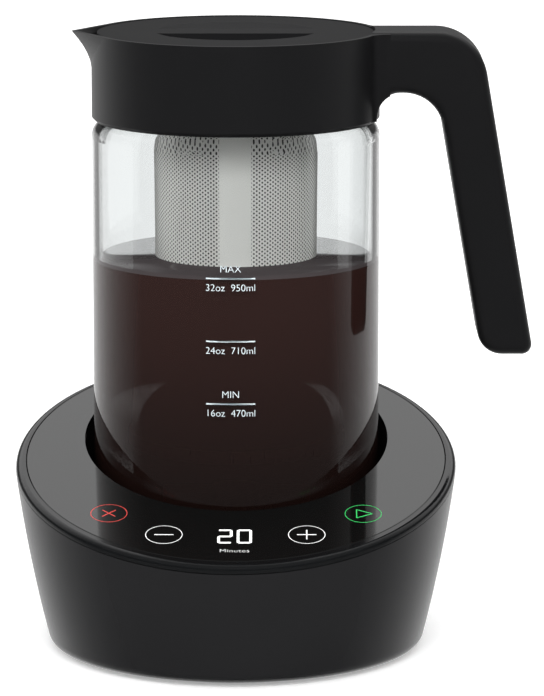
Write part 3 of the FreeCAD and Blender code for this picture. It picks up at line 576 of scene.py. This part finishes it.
def perforated_steel(name):
    """Bright stainless sheet with staggered holes, drawn at their real spacing, and a
    plain band along the seam at the front and the back. Below the coffee's surface it is
    painted dark brown, painted shade for how the steel looks inside the dark coffee."""
    made, tree, shader = start_material(name)

    def calc(operation, first, second=0.0):
        return put(tree, "ShaderNodeMath", {0: first, 1: second}, operation=operation).outputs[0]

    place = put(tree, "ShaderNodeTexCoord", {}).outputs["Object"]
    split = put(tree, "ShaderNodeSeparateXYZ", {"Vector": place}).outputs
    forward = calc("SUBTRACT", axis_y, split["Y"])
    around = calc("MULTIPLY", calc("ARCTAN2", split["X"], forward), screen_r)
    column = calc("DIVIDE", around, hole_across)
    column_whole = calc("FLOOR", column)
    shift = calc("MULTIPLY", calc("FLOORED_MODULO", column_whole, 2.0), 0.5)
    row = calc("ADD", calc("DIVIDE", split["Z"], hole_down), shift)
    off_x = calc("MULTIPLY", calc("SUBTRACT", calc("FRACT", column), 0.5), hole_across)
    off_z = calc("MULTIPLY", calc("SUBTRACT", calc("FRACT", row), 0.5), hole_down)
    away = calc("SQRT", calc("ADD", calc("MULTIPLY", off_x, off_x), calc("MULTIPLY", off_z, off_z)))
    in_hole = calc("LESS_THAN", away, hole_r)
    off_seam = calc("GREATER_THAN", calc("ABSOLUTE", around), plain_half)
    hole = calc("MULTIPLY", in_hole, off_seam)
    drawn = put(tree, "ShaderNodeMapping", {"Vector": place, "Scale": (1, 1, 0.05)})
    lines = put(tree, "ShaderNodeTexNoise", {
        "Vector": drawn.outputs["Vector"], "Scale": 1 / (0.8 * mm), "Detail": 3.0})
    gloss = put(tree, "ShaderNodeMapRange", {"Value": lines.outputs["Fac"], "To Min": 0.28,
                                             "To Max": 0.42})
    tint = put(tree, "ShaderNodeMix", {"Factor": hole, "A": linear("#e6e3df"),
                                       "B": linear("#1a1a1a")}, data_type="RGBA")
    # Painted shade: below the coffee line the steel is painted dark brown.
    painted_shade_under_coffee = put(tree, "ShaderNodeMix", {"Factor": calc("LESS_THAN", split["Z"], coffee_level),
                                        "A": tint.outputs["Result"], "B": linear("#452a22")},
                data_type="RGBA")
    bump = put(tree, "ShaderNodeBump", {"Height": calc("SUBTRACT", 1.0, hole), "Strength": 0.4,
                                        "Distance": 0.1 * mm})
    tree.links.new(painted_shade_under_coffee.outputs["Result"], shader.inputs["Base Color"])
    tree.links.new(gloss.outputs["Result"], shader.inputs["Roughness"])
    tree.links.new(bump.outputs["Normal"], shader.inputs["Normal"])
    shader.inputs["Metallic"].default_value = 0.15
    return made


dress(perforated_steel("stainless_perforated"), "filter_screen")
dress(worked_steel("stainless_pressed", "#c9c6c2", 0.3, 0.5 * mm, (1, 1, 0.1)),
      "filter_rim", "filter_base")

# Floor
# A sheet of pale paper, eight metres across, that turns to plain white away from the
# object. Glass and gloss mirror the room instead of the paper.
paper_side = 8.0
shadow_end = 0.3
white_start = 1.0
near_lift = 0.35
bpy.ops.object.select_all(action="DESELECT")
bpy.ops.mesh.primitive_plane_add(size=paper_side, location=(0, 0, 0))
floor = bpy.context.object
floor.name = "floor"
start_edit(floor)
bpy.ops.mesh.subdivide(number_cuts=3)
bpy.ops.object.mode_set(mode="OBJECT")


def studio_floor(name):
    """Matt white paper: its colour carries the soft shadow, and for the eye it is lifted
    to the white of the backdrop, which it reaches a metre away from the object."""
    made, tree, shader = start_material(name)
    light_path = put(tree, "ShaderNodeLightPath", {})
    place = put(tree, "ShaderNodeTexCoord", {}).outputs["Object"]
    away = put(tree, "ShaderNodeVectorMath", {0: place}, operation="LENGTH").outputs["Value"]
    white = put(tree, "ShaderNodeMapRange", {"Value": away, "From Min": shadow_end,
                                             "From Max": white_start, "To Min": near_lift,
                                             "To Max": 1.0}).outputs["Result"]
    lift = put(tree, "ShaderNodeMath", {0: light_path.outputs["Is Camera Ray"], 1: white},
               operation="MULTIPLY")
    shader.inputs["Base Color"].default_value = linear("#e6e6e6")
    shader.inputs["Roughness"].default_value = 0.9
    shader.inputs["Specular IOR Level"].default_value = 0.0
    shader.inputs["Emission Color"].default_value = linear("#ffffff")
    tree.links.new(lift.outputs[0], shader.inputs["Emission Strength"])
    return made


floor.data.materials.append(studio_floor("paper_white"))
floor.visible_transmission = False
floor.visible_glossy = False

# Room and lamps
# Gloss mirrors a room that is bright behind the object and dark in front of it. Glass
# bends in a white wall with a dark screen at each side, so dark lines run down its sides.
world = bpy.data.worlds.new("studio")
bpy.context.scene.world = world
world.use_nodes = True
sky = world.node_tree
sky.nodes.clear()
heading = put(sky, "ShaderNodeSeparateXYZ",
              {"Vector": put(sky, "ShaderNodeTexCoord", {}).outputs["Generated"]})


def ramp(value, low, high, at_low, at_high):
    """A value that runs between two levels as a heading's part goes from low to high."""
    return put(sky, "ShaderNodeMapRange", {"Value": value, "From Min": low, "From Max": high,
                                           "To Min": at_low, "To Max": at_high}).outputs["Result"]


def combine(operation, first, second=0.0):
    """Two values put together by one sum."""
    return put(sky, "ShaderNodeMath", {0: first, 1: second}, operation=operation).outputs[0]


height = combine("MAXIMUM", ramp(heading.outputs["Z"], 0.0, 0.1, 1.0, 0.15),
                 ramp(heading.outputs["Z"], 0.35, 0.55, 0.0, 1.2))
mirrored = combine("MULTIPLY", ramp(heading.outputs["Y"], -0.15, 0.7, 0.16, 1.0), height)
sideways = combine("ABSOLUTE", heading.outputs["X"])
screens = combine("MAXIMUM", ramp(sideways, 0.23, 0.27, 1.0, 0.02),
                  ramp(sideways, 0.5, 0.6, 0.0, 0.9))
behind = combine("GREATER_THAN", heading.outputs["Y"], 0.05)
through = combine("MULTIPLY", combine("MULTIPLY", screens, behind), height)
path = put(sky, "ShaderNodeLightPath", {})
bent = put(sky, "ShaderNodeMix", {"Factor": path.outputs["Is Transmission Ray"], "A": mirrored,
                                  "B": through})
level = put(sky, "ShaderNodeMix", {"Factor": path.outputs["Is Camera Ray"],
                                   "A": bent.outputs["Result"], "B": 1.0})
backdrop = put(sky, "ShaderNodeBackground", {"Color": linear("#ffffff"),
                                             "Strength": level.outputs["Result"]})
shown = put(sky, "ShaderNodeOutputWorld", {"Surface": backdrop.outputs["Background"]})


def soft_box(name, place, aim, width, height, power):
    """A rectangular soft light turned to a point, kept out of mirrors and out of glass."""
    lamp = bpy.data.lights.new(name, "AREA")
    lamp.shape = "RECTANGLE"
    lamp.size = width
    lamp.size_y = height
    lamp.energy = power
    held = bpy.data.objects.new(name, lamp)
    bpy.context.scene.collection.objects.link(held)
    held.visible_glossy = False
    held.visible_transmission = False
    held.location = place
    held.rotation_euler = (Vector(aim) - Vector(place)).to_track_quat("-Z", "Y").to_euler()


soft_box("left_light", (-1.1, -0.3, 0.55), (0, 0, 0.12), 0.7, 0.9, 6.0)
soft_box("right_light", (1.1, -0.2, 0.5), (0, 0, 0.12), 0.6, 0.9, 4.0)
soft_box("top_light", (0.0, 0.1, 1.4), (0, 0, 0.1), 1.0, 1.0, 8.0)
soft_box("front_light", (0.0, -1.3, 0.8), (0, 0, 0.12), 1.0, 0.8, 27.0)

# Camera
# A long lens a little above the lid, aimed down at the front of the base.
camera_side = 14.6 * mm
camera_back = 1701 * mm
camera_rise = 190.8 * mm
camera_tilt = 10.55
camera_data = bpy.data.cameras.new("camera")
camera_data.lens = 222.4
camera_data.sensor_width = 36.0
camera = bpy.data.objects.new("camera", camera_data)
bpy.context.scene.collection.objects.link(camera)
camera.location = (camera_side, -camera_back, lid_top + camera_rise)
camera.rotation_euler = (math.radians(90 - camera_tilt), 0, 0)
bpy.context.scene.camera = camera
bpy.context.scene.view_settings.view_transform = "Standard"
